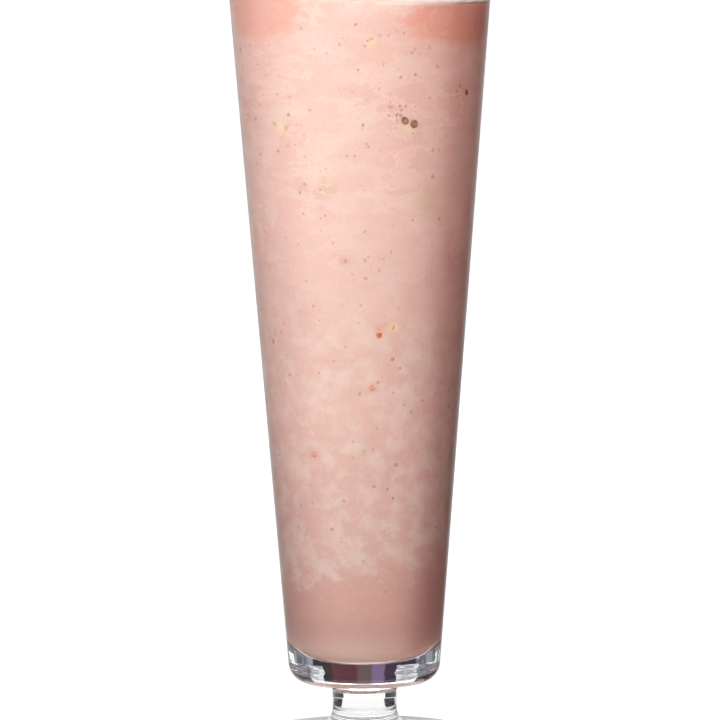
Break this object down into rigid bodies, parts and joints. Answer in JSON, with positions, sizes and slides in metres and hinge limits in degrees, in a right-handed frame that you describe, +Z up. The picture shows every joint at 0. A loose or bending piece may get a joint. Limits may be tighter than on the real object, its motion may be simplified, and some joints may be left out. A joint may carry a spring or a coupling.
{
  "type": "strawberry smoothie",
  "caption": "Thick pink strawberry smoothie in a tall, clear, tapering glass with a short stem and a round foot.",
  "frame": {"origin": "middle of the foot's underside, on the surface that the glass stands on", "axes": "+Z up along the axis of the glass; the glass is round, so +X and +Y are free, and -Y is the shown front"},
  "size_m": [0.0762, 0.0762, 0.23],
  "materials": {
    "clear_glass": "clear, fire polished",
    "smoothie": "creamy, opaque, moist"
  },
  "bodies": {
    "root": {"glass": "clear_glass", "smoothie": "smoothie"}
  },
  "joints": []
}
